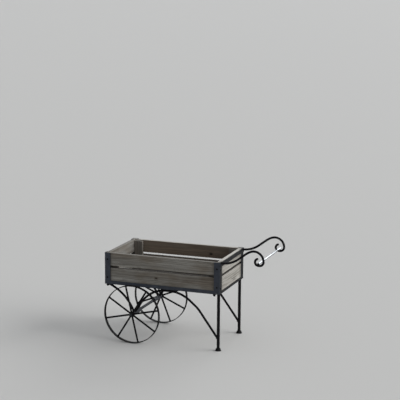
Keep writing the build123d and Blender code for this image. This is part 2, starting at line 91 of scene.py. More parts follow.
# Wood patterns in millimetres, sizes along the grain and across it, and where wear and stains start and are full
GRAIN_WANDER = (420, 70)
GRAIN_SWING = 14
KNOT_SPACING = 230
KNOT_TURN = 0.55
RING_SPACING = 6
RING_BEND = 11.0
BAND_SIZE = (330, 17)
FIBRE_SIZE = (70, 1.5)
PATCH_SIZE = (150, 60)
CHECK_SIZE = (900, 9)
NICK_SIZE = (38, 22)
RIDGE_SIZE = (160, 5)
DISH_SIZE = (140, 45)
RIDGE_DEPTH = 0.45 * MM
DISH_DEPTH = 0.9 * MM
ARRIS_WEAR = (4.0, 0.6)
END_STAIN = (46.0, 22.0)

# How far the weather reaches a board's faces: open air; above it a painted light that pales the lit handle end
# further; below zero the insides of the box, browner and darkened as painted shade
PAINTED_LIGHT_FULL = 1.6
OPEN_AIR = 1.0
END_INSIDE = -0.7
SIDE_INSIDE = -0.84
POST_SHELTER_AND_SHADE = -0.74
# Painted shade low on the long sides' insides: where it stops, how far it fades and how much its line waves
LOW_SHADE_TOP = 385.0 * MM
LOW_SHADE_FADE = 20.0 * MM
LOW_SHADE_WAVE = 30.0 * MM

# Painted light and shade on the boards' up-facing faces: 1 paints them pale as if lit, 0 paints them dark as if
# shaded in the gaps
EDGE_PAINTED_LIGHT = {
    "handle_end_upper_plank": 1.0, "right_upper_plank": 0.8, "left_upper_plank": 0.3, "wheel_end_upper_plank": 0.3,
    "left_wheel_end_post": 0.3, "right_wheel_end_post": 0.3,
}

# Where some boards lay in the log, in millimetres along it and from its pith, so that their knots fall as they should
LOG_PLACES = {
    "left_lower_plank": (3891.0, -37.0, -52.0),
    "right_upper_plank": (4675.0, -20.0, 43.0),
    "handle_end_lower_plank": (5457.0, 28.0, 47.0),
    "wheel_end_upper_plank": (4531.0, 2.0, -61.0),
}

# Patterns on metal, nylon and rubber
MOTTLE_SIZE = 28.0 * MM
RUB_SPACING = 9.0 * MM
PEEL_SIZE = 1.3 * MM
BLOOM_SIZE = 3.0 * MM
ZINC_GRAIN = 0.6 * MM
SMEAR_SIZE = (17.0 * MM, 45.0 * MM, 17.0 * MM)
DRAWN_LINE_SIZE = (50.0 * MM, 0.7 * MM, 50.0 * MM)
CLOUD_SIZE = 6.0 * MM
SCUFF_TOP = 7.0 * MM
SCUFF_FULL = 0.5 * MM

# Screws through the corner angles
SCREW_HEAD_RADIUS = 4.0 * MM
SCREW_HEAD_HEIGHT = 2.35 * MM
SCREW_RECESS_LENGTH = 4.6 * MM
SCREW_RECESS_WIDTH = 1.0 * MM
SCREW_RECESS_DEPTH = 1.3 * MM
SCREW_CROWN_DROP = 0.55
SCREW_CROWN_POWER = 3.0
SCREW_SEED = 3
UPPER_SCREW_DROP = 32.0 * MM
LOWER_SCREW_RISE = 31.0 * MM
END_SCREW_DROP = 6.0 * MM

# Weld beads
BEAD_RADIUS = 1.5 * MM
BEAD_PITCH = 1.3 * MM
SMALLEST_BEAD = 0.8
LARGEST_BEAD = 1.15
RING_POINTS = 24
HANDLE_RADIUS = 5.5 * MM
LUG_LENGTH = 14.0 * MM
BRACE_SEAT_LENGTH = 18.0 * MM
BRACE_SEAT_SHARE = 0.8
GRIP_WELD_RADIUS = 3.4 * MM
STRAP_WELD_LENGTH = 25.0 * MM

SPOKES = 8
SIDES = {"left": -1, "right": 1}
ENDS = {"wheel_end": -1, "handle_end": 1}


def colour(hex_code):
    """An sRGB hex colour as linear RGBA."""
    channels = [int(hex_code[i:i + 2], 16) / 255 for i in (0, 2, 4)]
    return tuple(c / 12.92 if c <= 0.04045 else ((c + 0.055) / 1.055) ** 2.4 for c in channels) + (1.0,)


def add(tree, kind, inputs=None, out=0, **settings):
    """Add a node, set it, link or fill its inputs, and give back one of its outputs."""
    node = tree.nodes.new(kind)
    for name, value in settings.items():
        setattr(node, name, value)
    for socket, value in (inputs or {}).items():
        if isinstance(value, bpy.types.NodeSocket):
            tree.links.new(value, node.inputs[socket])
        else:
            node.inputs[socket].default_value = value
    return node.outputs[out] if len(node.outputs) else node


def per_millimetre(size):
    """Pattern cells per millimetre of log, from a cell's size along the grain and across it."""
    along, across = size
    return (1 / along, 1 / across, 1 / across)


def start_material(name, roughness, **sockets):
    """A new material with one shader, whose constant values are set on its own sockets."""
    material = bpy.data.materials.new(name)
    material.use_nodes = True
    tree = material.node_tree
    shader = tree.nodes["Principled BSDF"]
    shader.inputs["Roughness"].default_value = roughness
    for socket, value in sockets.items():
        shader.inputs[socket.replace("_", " ")].default_value = value
    return material, tree, shader


def weathered_fir():
    """Fir boards, sawn, stained grey-brown and left outdoors.

    Dry and dull: long streaks of grey over brown, dark summer rings, knots, fine checks, paler worn arrises.
    Painted light and shade too: a paler lit handle end, up-facing faces pale where lit and dark where shaded, darker
    insides.
    """
    material, tree, shader = start_material("weathered fir", 0.82, IOR=1.45)
    shader.inputs["Specular IOR Level"].default_value = 0.25

    # Millimetres in the log: x along it from a random start, y and z from the pith
    log = add(tree, "ShaderNodeAttribute", out="Vector", attribute_name="log")
    # Millimetres to the nearest end and long arris, and how far the weather reaches, which paints light above open
    # air and shade below zero
    wear = add(tree, "ShaderNodeAttribute", out="Vector", attribute_name="wear")
    wear = add(tree, "ShaderNodeSeparateXYZ", {0: wear}).node
    to_end, to_arris, outside = wear.outputs
    # 1 paints an up-facing face pale as if lit, 0 paints it dark as if shaded
    edge_light = add(tree, "ShaderNodeAttribute", out="Fac", attribute_name="edge_light")

    # Slow wander of the grain along the log
    wander_scale = add(tree, "ShaderNodeVectorMath", {0: log, 1: per_millimetre(GRAIN_WANDER)}, operation="MULTIPLY")
    wander = add(tree, "ShaderNodeTexNoise", {"Vector": wander_scale, "Scale": 1.0, "Detail": 2.0}, out="Color")
    wander = add(tree, "ShaderNodeVectorMath", {0: wander, 1: (-0.5, -0.5, -0.5)}, operation="ADD")
    wander = add(tree, "ShaderNodeVectorMath", {0: wander, 1: (0, GRAIN_SWING, GRAIN_SWING)}, operation="MULTIPLY")
    wandered = add(tree, "ShaderNodeVectorMath", {0: log, 1: wander}, operation="ADD")
    parts = add(tree, "ShaderNodeSeparateXYZ", {0: wandered}).node
    radius = add(tree, "ShaderNodeVectorMath", {0: add(tree, "ShaderNodeCombineXYZ", {
        1: parts.outputs[1], 2: parts.outputs[2]})}, out="Value", operation="LENGTH")
    angle = add(tree, "ShaderNodeMath", {0: parts.outputs[1], 1: parts.outputs[2]}, operation="ARCTAN2")

    # Knots: branches that leave the pith one after another, some places without one
    along_knots = add(tree, "ShaderNodeMath", {0: parts.outputs[0], 1: 1 / KNOT_SPACING}, operation="MULTIPLY")
    around_knots = add(tree, "ShaderNodeMath", {0: angle, 1: KNOT_TURN}, operation="MULTIPLY")
    knot_place = add(tree, "ShaderNodeCombineXYZ", {0: along_knots, 1: around_knots})
    knots = add(tree, "ShaderNodeTexVoronoi", {"Vector": knot_place, "Scale": 1.0}, voronoi_dimensions="2D").node
    chance = add(tree, "ShaderNodeSeparateColor", {0: knots.outputs["Color"]})
    knot_size = add(tree, "ShaderNodeMapRange", {0: chance, 1: 0.45, 2: 1.0, 3: 0.0008, 4: 0.052})
    knot = add(tree, "ShaderNodeMath", {0: knots.outputs["Distance"], 1: knot_size}, operation="DIVIDE")
    knot_core = add(tree, "ShaderNodeMapRange", {0: knot, 1: 1.0, 2: 0.72}, interpolation_type="SMOOTHSTEP")
    knot_halo = add(tree, "ShaderNodeMapRange", {0: knot, 1: 2.6, 2: 0.6}, interpolation_type="SMOOTHSTEP")

    # Growth rings, drawn coarse enough to show, bent round the knots
    bent = add(tree, "ShaderNodeMath", {0: knot_halo, 1: RING_BEND, 2: radius}, operation="MULTIPLY_ADD")
    ring_phase = add(tree, "ShaderNodeMath", {0: bent, 1: 1 / RING_SPACING}, operation="MULTIPLY")
    ring = add(tree, "ShaderNodeMath", {0: ring_phase}, operation="FRACT")
    summer_rise = add(tree, "ShaderNodeMapRange", {0: ring, 1: 0.25, 2: 0.88}, interpolation_type="SMOOTHSTEP")
    summer_fall = add(tree, "ShaderNodeMapRange", {0: ring, 1: 1.0, 2: 0.92}, interpolation_type="SMOOTHSTEP")
    summer = add(tree, "ShaderNodeMath", {0: summer_rise, 1: summer_fall}, operation="MULTIPLY")

    # Streaks: broad bands of weathering, fine fibres, and patches that greyed more
    band_scale = add(tree, "ShaderNodeVectorMath", {0: wandered, 1: per_millimetre(BAND_SIZE)}, operation="MULTIPLY")
    bands = add(tree, "ShaderNodeTexNoise", {"Vector": band_scale, "Scale": 1.0, "Detail": 4.0, "Roughness": 0.6})
    fibre_scale = add(tree, "ShaderNodeVectorMath", {
        0: wandered, 1: per_millimetre(FIBRE_SIZE)}, operation="MULTIPLY")
    fibres = add(tree, "ShaderNodeTexNoise", {"Vector": fibre_scale, "Scale": 1.0, "Detail": 3.0, "Roughness": 0.65})
    patch_scale = add(tree, "ShaderNodeVectorMath", {0: log, 1: per_millimetre(PATCH_SIZE)}, operation="MULTIPLY")
    patches = add(tree, "ShaderNodeTexNoise", {"Vector": patch_scale, "Scale": 1.0, "Detail": 3.0})

    # Checks: hairline splits along the grain, here and there
    check_scale = add(tree, "ShaderNodeVectorMath", {
        0: wandered, 1: per_millimetre(CHECK_SIZE)}, operation="MULTIPLY")
    checks = add(tree, "ShaderNodeTexNoise", {"Vector": check_scale, "Scale": 1.0, "Detail": 1.0})
    checks = add(tree, "ShaderNodeMath", {0: checks, 1: 0.5}, operation="SUBTRACT")
    checks = add(tree, "ShaderNodeMath", {0: checks}, operation="ABSOLUTE")
    checks = add(tree, "ShaderNodeMapRange", {0: checks, 1: 0.011, 2: 0.003})
    check_share = add(tree, "ShaderNodeMapRange", {0: patches, 1: 0.57, 2: 0.66})
    checks = add(tree, "ShaderNodeMath", {0: checks, 1: check_share}, operation="MULTIPLY")

    # Colour: brown wood, greyed where the weather reaches it, paled as painted light on the lit handle end, browner
    # inside the box and darkened there as painted shade
    banding = add(tree, "ShaderNodeMapRange", {0: bands, 1: 0.30, 2: 0.72})
    brown = add(tree, "ShaderNodeMix", {
        0: banding, 6: colour("65594C"), 7: colour("948979")}, out=2, data_type="RGBA")
    grey = add(tree, "ShaderNodeMix", {
        0: banding, 6: colour("7E7B74"), 7: colour("B2B0AA")}, out=2, data_type="RGBA")
    greying = add(tree, "ShaderNodeMapRange", {0: patches, 1: 0.36, 2: 0.56, 3: 0.35, 4: 1.0})
    sheltered = add(tree, "ShaderNodeMapRange", {0: outside, 1: SIDE_INSIDE, 2: END_INSIDE, 3: 0.49, 4: 1.0})
    greying = add(tree, "ShaderNodeMath", {0: greying, 1: sheltered}, operation="MULTIPLY")
    # Painted light: the lit handle end's outer face is paled further towards grey
    painted_light_paling = add(tree, "ShaderNodeMapRange", {0: outside, 1: OPEN_AIR, 2: PAINTED_LIGHT_FULL, 4: 0.6})
    greying = add(tree, "ShaderNodeMath", {0: greying, 1: painted_light_paling}, operation="ADD", use_clamp=True)
    surface = add(tree, "ShaderNodeMix", {0: greying, 6: brown, 7: grey}, out=2, data_type="RGBA")
    # Painted shade inside the box: the end's inside goes towards a dark grey and the long sides' insides towards a
    # dull brown
    inside_shade = add(tree, "ShaderNodeMapRange", {0: outside, 1: -0.5, 2: END_INSIDE, 4: 0.44})
    browned = add(tree, "ShaderNodeMapRange", {0: outside, 1: END_INSIDE, 2: SIDE_INSIDE})
    inside_shade = add(tree, "ShaderNodeMath", {0: browned, 1: 0.16, 2: inside_shade}, operation="MULTIPLY_ADD")
    inside_shade_colour = add(tree, "ShaderNodeMix", {0: browned, 6: colour("343638"), 7: colour("7C6956")}, out=2, data_type="RGBA")
    surface = add(tree, "ShaderNodeMix", {0: inside_shade, 6: surface, 7: inside_shade_colour}, out=2, data_type="RGBA")

    # Painted shade darkens the long sides' insides up to a wavy line
    height = add(tree, "ShaderNodeSeparateXYZ", {0: add(tree, "ShaderNodeTexCoord", out="Object")}, out=2)
    low_shade_line = add(tree, "ShaderNodeMath", {0: patches, 1: LOW_SHADE_WAVE, 2: height}, operation="MULTIPLY_ADD")
    low_inside_shade = add(tree, "ShaderNodeMapRange", {0: low_shade_line, 1: LOW_SHADE_TOP, 2: LOW_SHADE_TOP - LOW_SHADE_FADE, 4: 0.75})
    low_inside_shade = add(tree, "ShaderNodeMath", {0: low_inside_shade, 1: browned}, operation="MULTIPLY")
    surface = add(tree, "ShaderNodeMix", {0: low_inside_shade, 6: surface, 7: colour("1E1813")}, out=2, data_type="RGBA")

    # Darker summer rings, fibres and knots
    summer_share = add(tree, "ShaderNodeMath", {0: summer, 1: 0.34}, operation="MULTIPLY")
    surface = add(tree, "ShaderNodeMix", {0: summer_share, 6: surface, 7: colour("514B43")}, out=2, data_type="RGBA")
    fibre_share = add(tree, "ShaderNodeMapRange", {0: fibres, 1: 0.50, 2: 0.30, 4: 0.45})
    surface = add(tree, "ShaderNodeMix", {0: fibre_share, 6: surface, 7: colour("46413A")}, out=2, data_type="RGBA")
    halo_share = add(tree, "ShaderNodeMath", {0: knot_halo, 1: 0.5}, operation="MULTIPLY")
    surface = add(tree, "ShaderNodeMix", {0: halo_share, 6: surface, 7: colour("5C4E42")}, out=2, data_type="RGBA")
    core_share = add(tree, "ShaderNodeMath", {0: knot_core, 1: 0.85}, operation="MULTIPLY")
    surface = add(tree, "ShaderNodeMix", {0: core_share, 6: surface, 7: colour("2E2620")}, out=2, data_type="RGBA")

    # Arrises rubbed pale, up-facing faces painted pale as if lit or dark as if shaded, ends stained dark by the iron
    rubbed = add(tree, "ShaderNodeMapRange", {
        0: to_arris, 1: ARRIS_WEAR[0], 2: ARRIS_WEAR[1], 4: 0.45}, interpolation_type="SMOOTHSTEP")
    rub_noise = add(tree, "ShaderNodeMapRange", {0: fibres, 1: 0.30, 2: 0.60, 3: 0.25})
    rub_share = add(tree, "ShaderNodeMapRange", {0: outside, 1: END_INSIDE, 2: -0.3, 3: 0.2})
    rub_noise = add(tree, "ShaderNodeMath", {0: rub_noise, 1: rub_share}, operation="MULTIPLY")
    rubbed = add(tree, "ShaderNodeMath", {0: rubbed, 1: rub_noise}, operation="MULTIPLY")
    surface = add(tree, "ShaderNodeMix", {0: rubbed, 6: surface, 7: colour("B9B3A8")}, out=2, data_type="RGBA")
    upwards = add(tree, "ShaderNodeSeparateXYZ", {0: add(tree, "ShaderNodeTexCoord", out="Normal")}, out=2)
    painted_edge_light = add(tree, "ShaderNodeMix", {
        0: edge_light, 6: colour("241F1B"), 7: colour("D6D3CB")}, out=2, data_type="RGBA")
    painted_edge_share = add(tree, "ShaderNodeMapRange", {0: upwards, 1: 0.6, 2: 0.95, 4: 0.8})
    surface = add(tree, "ShaderNodeMix", {0: painted_edge_share, 6: surface, 7: painted_edge_light}, out=2, data_type="RGBA")
    stained = add(tree, "ShaderNodeMapRange", {
        0: to_end, 1: END_STAIN[0], 2: END_STAIN[1], 4: 0.4}, interpolation_type="SMOOTHSTEP")
    outdoors = add(tree, "ShaderNodeMapRange", {0: outside, 1: -0.6, 2: -0.3})
    stained = add(tree, "ShaderNodeMath", {0: stained, 1: outdoors}, operation="MULTIPLY")
    surface = add(tree, "ShaderNodeMix", {0: stained, 6: surface, 7: colour("57524C")}, out=2, data_type="RGBA")
    surface = add(tree, "ShaderNodeMix", {0: checks, 6: surface, 7: colour("221D19")}, out=2, data_type="RGBA")
    tree.links.new(surface, shader.inputs["Base Color"])

    # Relief: raised summer rings and fibres, open checks
    relief = add(tree, "ShaderNodeMath", {0: fibres, 1: 0.5, 2: summer}, operation="MULTIPLY_ADD")
    relief = add(tree, "ShaderNodeMath", {0: checks, 1: -2.5, 2: relief}, operation="MULTIPLY_ADD")
    bump = add(tree, "ShaderNodeBump", {"Strength": 0.7, "Distance": 0.35 * MM, "Height": relief})
    tree.links.new(bump, shader.inputs["Normal"])
    dry = add(tree, "ShaderNodeMapRange", {0: bands, 1: 0.3, 2: 0.7, 3: 0.74, 4: 0.92})
    tree.links.new(dry, shader.inputs["Roughness"])
    return material


def powder_coated_iron(name, base, sheen, specular, dusting):
    """Mild steel bar under a baked powder coat.

    Satin, with a fine orange peel, a painted sheen on the long sides (paler, in a mottle a few centimetres wide),
    rubbed spots, and dust on faces that look up.
    """
    material, tree, shader = start_material(name, 0.5, IOR=1.5)
    shader.inputs["Specular IOR Level"].default_value = specular
    place = add(tree, "ShaderNodeTexCoord", out="Object")
    mottle = add(tree, "ShaderNodeTexNoise", {"Vector": place, "Scale": 1 / MOTTLE_SIZE, "Detail": 4.0})
    facing = add(tree, "ShaderNodeSeparateXYZ", {0: add(tree, "ShaderNodeTexCoord", out="Normal")}).node.outputs
    # Painted sheen: faces that look along Y, the long sides, are paler in a mottle, as if they caught a reflection
    sideways = add(tree, "ShaderNodeMath", {0: facing[1]}, operation="ABSOLUTE")
    side_sheen = add(tree, "ShaderNodeMapRange", {0: sideways, 1: 0.4, 2: 0.9})
    side_sheen_mottle = add(tree, "ShaderNodeMapRange", {0: mottle, 1: 0.35, 2: 0.65, 3: 0.7})
    side_sheen = add(tree, "ShaderNodeMath", {0: side_sheen, 1: side_sheen_mottle}, operation="MULTIPLY")
    coat = add(tree, "ShaderNodeMix", {0: side_sheen, 6: colour(base), 7: colour(sheen)}, out=2, data_type="RGBA")

    # Rubbed spots
    rub = add(tree, "ShaderNodeTexNoise", {
        "Vector": place, "Scale": 1 / RUB_SPACING, "Detail": 5.0, "Roughness": 0.7})
    rub = add(tree, "ShaderNodeMapRange", {0: rub, 1: 0.66, 2: 0.76, 4: 0.7})
    coat = add(tree, "ShaderNodeMix", {0: rub, 6: coat, 7: colour("4A4743")}, out=2, data_type="RGBA")

    # Dust settles on what faces up
    dust = add(tree, "ShaderNodeMapRange", {0: facing[2], 1: 0.55, 2: 1.0, 4: dusting})
    dust_noise = add(tree, "ShaderNodeMapRange", {0: mottle, 1: 0.35, 2: 0.65, 3: 0.3})
    dust = add(tree, "ShaderNodeMath", {0: dust, 1: dust_noise}, operation="MULTIPLY")
    coat = add(tree, "ShaderNodeMix", {0: dust, 6: coat, 7: colour("8B857B")}, out=2, data_type="RGBA")
    tree.links.new(coat, shader.inputs["Base Color"])

    # Orange peel
    peel = add(tree, "ShaderNodeTexNoise", {"Vector": place, "Scale": 1 / PEEL_SIZE, "Detail": 2.0})
    bump = add(tree, "ShaderNodeBump", {"Strength": 0.35, "Distance": 0.12 * MM, "Height": peel})
    tree.links.new(bump, shader.inputs["Normal"])
    gloss = add(tree, "ShaderNodeMapRange", {0: mottle, 1: 0.3, 2: 0.7, 3: 0.52, 4: 0.66})
    tree.links.new(gloss, shader.inputs["Roughness"])
    return material


def zinc_plate():
    """Zinc-plated steel hardware gone dark: grey metal with a dull crystalline bloom a few millimetres wide."""
    material, tree, shader = start_material("zinc plated steel", 0.4, Metallic=1.0)
    place = add(tree, "ShaderNodeTexCoord", out="Object")
    bloom = add(tree, "ShaderNodeTexNoise", {"Vector": place, "Scale": 1 / BLOOM_SIZE, "Detail": 4.0})
    spread = add(tree, "ShaderNodeMapRange", {0: bloom, 1: 0.32, 2: 0.62})
    metal = add(tree, "ShaderNodeMix", {0: spread, 6: colour("242628"), 7: colour("3E4143")}, out=2, data_type="RGBA")
    tree.links.new(metal, shader.inputs["Base Color"])
    dull = add(tree, "ShaderNodeMapRange", {0: bloom, 1: 0.3, 2: 0.7, 3: 0.5, 4: 0.3})
    tree.links.new(dull, shader.inputs["Roughness"])
    grain = add(tree, "ShaderNodeTexNoise", {"Vector": place, "Scale": 1 / ZINC_GRAIN, "Detail": 2.0})
    bump = add(tree, "ShaderNodeBump", {"Strength": 0.2, "Distance": 0.05 * MM, "Height": grain})
    tree.links.new(bump, shader.inputs["Normal"])
    return material


def polished_steel():
    """Drawn steel tube, polished: bright, with fine lines round the tube and smears from hands."""
    material, tree, shader = start_material("polished steel", 0.2, Metallic=1.0)
    place = add(tree, "ShaderNodeTexCoord", out="Object")
    smear_place = add(tree, "ShaderNodeVectorMath", {
        0: place, 1: tuple(1 / size for size in SMEAR_SIZE)}, operation="MULTIPLY")
    smears = add(tree, "ShaderNodeTexNoise", {"Vector": smear_place, "Scale": 1.0, "Detail": 4.0})
    spread = add(tree, "ShaderNodeMapRange", {0: smears, 1: 0.3, 2: 0.7})
    metal = add(tree, "ShaderNodeMix", {0: spread, 6: colour("8A8E92"), 7: colour("A8ACB0")}, out=2, data_type="RGBA")
    tree.links.new(metal, shader.inputs["Base Color"])
    gloss = add(tree, "ShaderNodeMapRange", {0: smears, 1: 0.35, 2: 0.7, 3: 0.06, 4: 0.14})
    tree.links.new(gloss, shader.inputs["Roughness"])
    line_place = add(tree, "ShaderNodeVectorMath", {
        0: place, 1: tuple(1 / size for size in DRAWN_LINE_SIZE)}, operation="MULTIPLY")
    lines = add(tree, "ShaderNodeTexNoise", {"Vector": line_place, "Scale": 1.0, "Detail": 2.0})
    bump = add(tree, "ShaderNodeBump", {"Strength": 0.12, "Distance": 0.03 * MM, "Height": lines})
    tree.links.new(bump, shader.inputs["Normal"])
    return material


def moulded_black(name, base, scuff, roughness, grit):
    """Moulded rubber or plastic: near black and matte, with a fine grit and paler scuffs close to the ground."""
    material, tree, shader = start_material(name, roughness, IOR=1.5)
    shader.inputs["Specular IOR Level"].default_value = 0.15
    place = add(tree, "ShaderNodeTexCoord", out="Object")
    cloud = add(tree, "ShaderNodeTexNoise", {"Vector": place, "Scale": 1 / CLOUD_SIZE, "Detail": 4.0})
    spread = add(tree, "ShaderNodeMapRange", {0: cloud, 1: 0.35, 2: 0.75})
    body = add(tree, "ShaderNodeMix", {0: spread, 6: colour(base), 7: colour(scuff)}, out=2, data_type="RGBA")
    height = add(tree, "ShaderNodeSeparateXYZ", {0: place}, out=2)
    low = add(tree, "ShaderNodeMapRange", {0: height, 1: SCUFF_TOP, 2: SCUFF_FULL, 4: 0.12})
    low = add(tree, "ShaderNodeMath", {0: low, 1: cloud}, operation="MULTIPLY")
    body = add(tree, "ShaderNodeMix", {0: low, 6: body, 7: colour("6B665E")}, out=2, data_type="RGBA")
    tree.links.new(body, shader.inputs["Base Color"])
    fine = add(tree, "ShaderNodeTexNoise", {"Vector": place, "Scale": 1 / grit, "Detail": 2.0})
    bump = add(tree, "ShaderNodeBump", {"Strength": 0.3, "Distance": 0.08 * MM, "Height": fine})
    tree.links.new(bump, shader.inputs["Normal"])
    return material


def start_tree(name, inputs):
    """A new geometry tree with named inputs, its group input node, and a geometry output."""
    tree = bpy.data.node_groups.new(name, "GeometryNodeTree")
    for label, kind in inputs.items():
        tree.interface.new_socket(label, in_out="INPUT", socket_type=kind)
    tree.interface.new_socket("Geometry", in_out="OUTPUT", socket_type="NodeSocketGeometry")
    return tree, tree.nodes.new("NodeGroupInput").outputs


def end_tree(tree, geometry, material):
    """Close a tree: realise its instances, shade it smooth and give it its material."""
    geometry = add(tree, "GeometryNodeRealizeInstances", {0: geometry})
    geometry = add(tree, "GeometryNodeSetShadeSmooth", {0: geometry})
    geometry = add(tree, "GeometryNodeSetMaterial", {0: geometry, "Material": material})
    add(tree, "NodeGroupOutput", {0: geometry})
    return tree


def grow(name, tree, values, base=None):
    """Run a tree once on a base mesh and keep the result as a plain mesh object."""
    piece = bpy.data.objects.new(name, base or bpy.data.meshes.new(name))
    bpy.context.scene.collection.objects.link(piece)
    modifier = piece.modifiers.new("grow", "NODES")
    modifier.node_group = tree
    for item in tree.interface.items_tree:
        if item.in_out == "INPUT" and item.name in values:
            modifier[item.identifier] = values[item.name]
    finished = piece.evaluated_get(bpy.context.evaluated_depsgraph_get())
    mesh = bpy.data.meshes.new_from_object(finished)
    mesh.name = name
    piece.modifiers.clear()
    piece.data = mesh
    return piece


def board_tree(wood):
    """A sawn board with worn arrises: x along the grain, y across it, z through it.

    Every move of the surface is inwards, so the board stays inside its size.
    """
    tree, given = start_tree("weathered board", {
        "Size": "NodeSocketVector", "Cells": "NodeSocketVector", "Edge round": "NodeSocketFloat",
        "Centre": "NodeSocketVector", "Turn": "NodeSocketVector", "Log place": "NodeSocketVector",
        "Outside": "NodeSocketFloat", "Shelter and shade": "NodeSocketFloat", "Edge light": "NodeSocketFloat"})
    size, cells = given["Size"], given["Cells"]
    counts = add(tree, "ShaderNodeVectorMath", {0: cells, 1: (1, 1, 1)}, operation="ADD")
    counts = add(tree, "ShaderNodeSeparateXYZ", {0: counts}).node.outputs
    block = add(tree, "GeometryNodeMeshCube", {
        "Size": (1, 1, 1), "Vertices X": counts[0], "Vertices Y": counts[1], "Vertices Z": counts[2]})

    # Spread the cells so that the outermost few lie in the arris zone
    edge_cells = (BOARD_EDGE_CELLS,) * 3
    edge_step = BOARD_EDGE_ZONE / BOARD_EDGE_CELLS
    start = add(tree, "ShaderNodeVectorMath", {
        0: add(tree, "GeometryNodeInputPosition"), 1: (0.5, 0.5, 0.5)}, operation="ADD")
    count = add(tree, "ShaderNodeVectorMath", {0: start, 1: cells}, operation="MULTIPLY")
    first = add(tree, "ShaderNodeVectorMath", {0: count, 1: edge_cells}, operation="MINIMUM")
    inner_cells = add(tree, "ShaderNodeVectorMath", {0: cells, 1: (2 * BOARD_EDGE_CELLS,) * 3}, operation="SUBTRACT")
    middle = add(tree, "ShaderNodeVectorMath", {0: count, 1: edge_cells}, operation="SUBTRACT")
    middle = add(tree, "ShaderNodeVectorMath", {0: middle, 1: (0, 0, 0)}, operation="MAXIMUM")
    middle = add(tree, "ShaderNodeVectorMath", {0: middle, 1: inner_cells}, operation="MINIMUM")
    last = add(tree, "ShaderNodeVectorMath", {0: count, 1: first}, operation="SUBTRACT")
    last = add(tree, "ShaderNodeVectorMath", {0: last, 1: middle}, operation="SUBTRACT")
    edges = add(tree, "ShaderNodeVectorMath", {0: first, 1: last}, operation="ADD")
    edges = add(tree, "ShaderNodeVectorMath", {0: edges, "Scale": edge_step}, operation="SCALE")
    inner_size = add(tree, "ShaderNodeVectorMath", {0: size, 1: (2 * BOARD_EDGE_ZONE,) * 3}, operation="SUBTRACT")
    middle = add(tree, "ShaderNodeVectorMath", {0: middle, 1: inner_cells}, operation="DIVIDE")
    middle = add(tree, "ShaderNodeVectorMath", {0: middle, 1: inner_size}, operation="MULTIPLY")
    half = add(tree, "ShaderNodeVectorMath", {0: size, "Scale": 0.5}, operation="SCALE")
    place = add(tree, "ShaderNodeVectorMath", {0: edges, 1: middle}, operation="ADD")
    place = add(tree, "ShaderNodeVectorMath", {0: place, 1: half}, operation="SUBTRACT")

    # Where each point was in the log, in millimetres, and how far it is from the ends and arrises
    millimetres = add(tree, "ShaderNodeVectorMath", {0: place, "Scale": 1 / MM}, operation="SCALE")
    log = add(tree, "ShaderNodeVectorMath", {0: millimetres, 1: given["Log place"]}, operation="ADD")
    inset = add(tree, "ShaderNodeVectorMath", {0: place}, operation="ABSOLUTE")
    inset = add(tree, "ShaderNodeVectorMath", {0: half, 1: inset}, operation="SUBTRACT")
    inset = add(tree, "ShaderNodeVectorMath", {0: inset, "Scale": 1 / MM}, operation="SCALE")
    inset = add(tree, "ShaderNodeSeparateXYZ", {0: inset}).node.outputs
    to_arris = add(tree, "ShaderNodeMath", {0: inset[1], 1: inset[2]}, operation="MAXIMUM")
    # How far the weather reaches a face, with painted light above open air and painted shade below zero; the posts
    # are shifted into the insides' painted shade
    outside = add(tree, "ShaderNodeVectorMath", {0: place, 1: half}, operation="DIVIDE")
    outside = add(tree, "ShaderNodeSeparateXYZ", {0: outside}, out=2)
    outside = add(tree, "ShaderNodeMath", {
        0: outside, 1: given["Outside"], 2: given["Shelter and shade"]}, operation="MULTIPLY_ADD")
    wear = add(tree, "ShaderNodeCombineXYZ", {0: inset[0], 1: to_arris, 2: outside})
    block = add(tree, "GeometryNodeStoreNamedAttribute", {
        0: block, "Name": "log", "Value": log}, data_type="FLOAT_VECTOR", domain="POINT")
    block = add(tree, "GeometryNodeStoreNamedAttribute", {
        0: block, "Name": "wear", "Value": wear}, data_type="FLOAT_VECTOR", domain="POINT")
    block = add(tree, "GeometryNodeStoreNamedAttribute", {
        0: block, "Name": "edge_light", "Value": given["Edge light"]}, data_type="FLOAT", domain="POINT")

    # Arrises rounded unevenly, as hands and weather wear them
    nick_scale = add(tree, "ShaderNodeVectorMath", {0: log, 1: per_millimetre(NICK_SIZE)}, operation="MULTIPLY")
    nicks = add(tree, "ShaderNodeTexNoise", {"Vector": nick_scale, "Scale": 1.0, "Detail": 3.0})
    nicks = add(tree, "ShaderNodeMapRange", {0: nicks, 1: 0.3, 2: 0.75, 3: 0.6, 4: 1.75})
    round_off = add(tree, "ShaderNodeMath", {0: nicks, 1: given["Edge round"]}, operation="MULTIPLY")
    round_vector = add(tree, "ShaderNodeCombineXYZ", {0: round_off, 1: round_off, 2: round_off})
    core = add(tree, "ShaderNodeVectorMath", {0: half, 1: round_vector}, operation="SUBTRACT")
    low_core = add(tree, "ShaderNodeVectorMath", {0: core, "Scale": -1.0}, operation="SCALE")
    anchor = add(tree, "ShaderNodeVectorMath", {0: place, 1: core}, operation="MINIMUM")
    anchor = add(tree, "ShaderNodeVectorMath", {0: anchor, 1: low_core}, operation="MAXIMUM")
    away = add(tree, "ShaderNodeVectorMath", {0: place, 1: anchor}, operation="SUBTRACT")
    away = add(tree, "ShaderNodeVectorMath", {0: away}, operation="NORMALIZE")
    away = add(tree, "ShaderNodeVectorMath", {0: away, "Scale": round_off}, operation="SCALE")
    rounded = add(tree, "ShaderNodeVectorMath", {0: anchor, 1: away}, operation="ADD")
    block = add(tree, "GeometryNodeSetPosition", {0: block, "Position": rounded})

